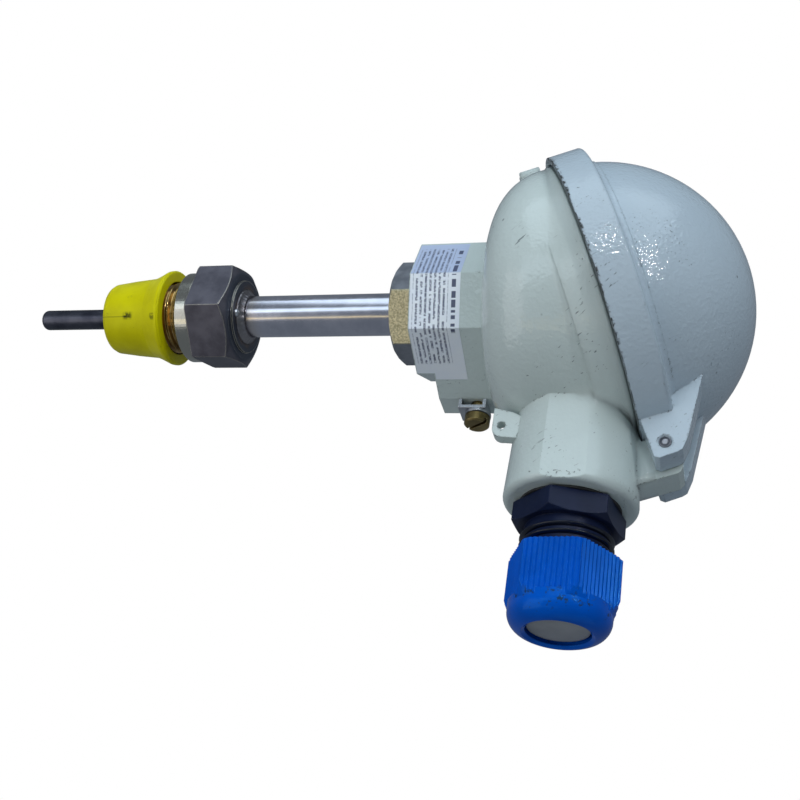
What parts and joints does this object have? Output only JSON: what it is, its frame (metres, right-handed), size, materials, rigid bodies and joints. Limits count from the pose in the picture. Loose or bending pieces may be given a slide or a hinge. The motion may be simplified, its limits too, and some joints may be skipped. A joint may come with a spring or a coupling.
{
  "type": "resistance thermometer with connection head",
  "caption": "Spring-loaded resistance thermometer in a threaded neck tube with a hinged high-dome connection head, a plastic cable gland and a thread protector.",
  "frame": {"origin": "centre of the process connection's sealing face", "axes": "+Z along the probe from the tip to the head, +X towards the cable gland and the cover's hinge"},
  "size_m": [0.1457, 0.0874, 0.2099],
  "materials": {
    "paint": "gloss",
    "steel": "satin",
    "bright_steel": "polished",
    "brass": "satin",
    "navy_plastic": "gloss",
    "blue_plastic": "gloss",
    "yellow_plastic": "gloss",
    "grey_plastic": "satin",
    "rubber": "matt",
    "ceramic": "satin",
    "lead": "satin"
  },
  "bodies": {
    "head": {"process_connection": "steel", "neck_tube": "bright_steel", "head_base": "paint", "cover_gasket": "rubber", "hinge_pin": "bright_steel", "gland_gasket": "rubber", "gland_body": "navy_plastic", "gland_seal": "rubber", "blanking_plug": "grey_plastic", "earth_clip": "bright_steel", "earth_washer": "bright_steel", "insert_screws": "bright_steel", "insert_springs": "steel"},
    "cover": {"head_cover": "paint"},
    "closing_screw": {"closing_screw": "bright_steel"},
    "lock_nut": {"lock_nut": "steel"},
    "gland_nut": {"gland_nut": "blue_plastic"},
    "earth_screw": {"earth_screw": "brass"},
    "insert": {"insert_rod": "bright_steel", "insert_plate": "bright_steel", "terminal_block": "ceramic", "terminal_clamps": "brass", "terminal_screws": "steel", "lead_wires": "lead"},
    "thread_cap": {"thread_cap": "yellow_plastic"}
  },
  "joints": [
    {"name": "cover_hinge", "type": "hinge", "parent": "head", "child": "cover", "pos_m": [0.04714, 0, 0.13969], "axis": [0, 1, 0], "range_deg": [0, 110]},
    {"name": "closing_screw_turn", "type": "hinge", "parent": "cover", "child": "closing_screw", "pos_m": [-0.04716, 0, 0.10951], "axis": [-0.3502, 0, 0.9367], "continuous": true},
    {"name": "lock_nut_turn", "type": "hinge", "parent": "head", "child": "lock_nut", "pos_m": [0, 0, 0.0643], "axis": [0, 0, 1], "continuous": true},
    {"name": "gland_nut_turn", "type": "hinge", "parent": "head", "child": "gland_nut", "pos_m": [0.08, 0, 0.1169], "axis": [1, 0, 0], "continuous": true},
    {"name": "earth_screw_turn", "type": "hinge", "parent": "head", "child": "earth_screw", "pos_m": [0.027, 0.0126, 0.0871], "axis": [1, 0, 0], "continuous": true},
    {"name": "insert_spring_slide", "type": "slide", "parent": "head", "child": "insert", "axis": [0, 0, 1], "range_m": [0, 0.006], "stiffness_N_per_m": 2000, "springref_m": -0.004, "deforming": ["insert_springs"]},
    {"name": "thread_cap_slide", "type": "slide", "parent": "head", "child": "thread_cap", "axis": [0, 0, -1], "range_m": [0, 0.05]}
  ]
}
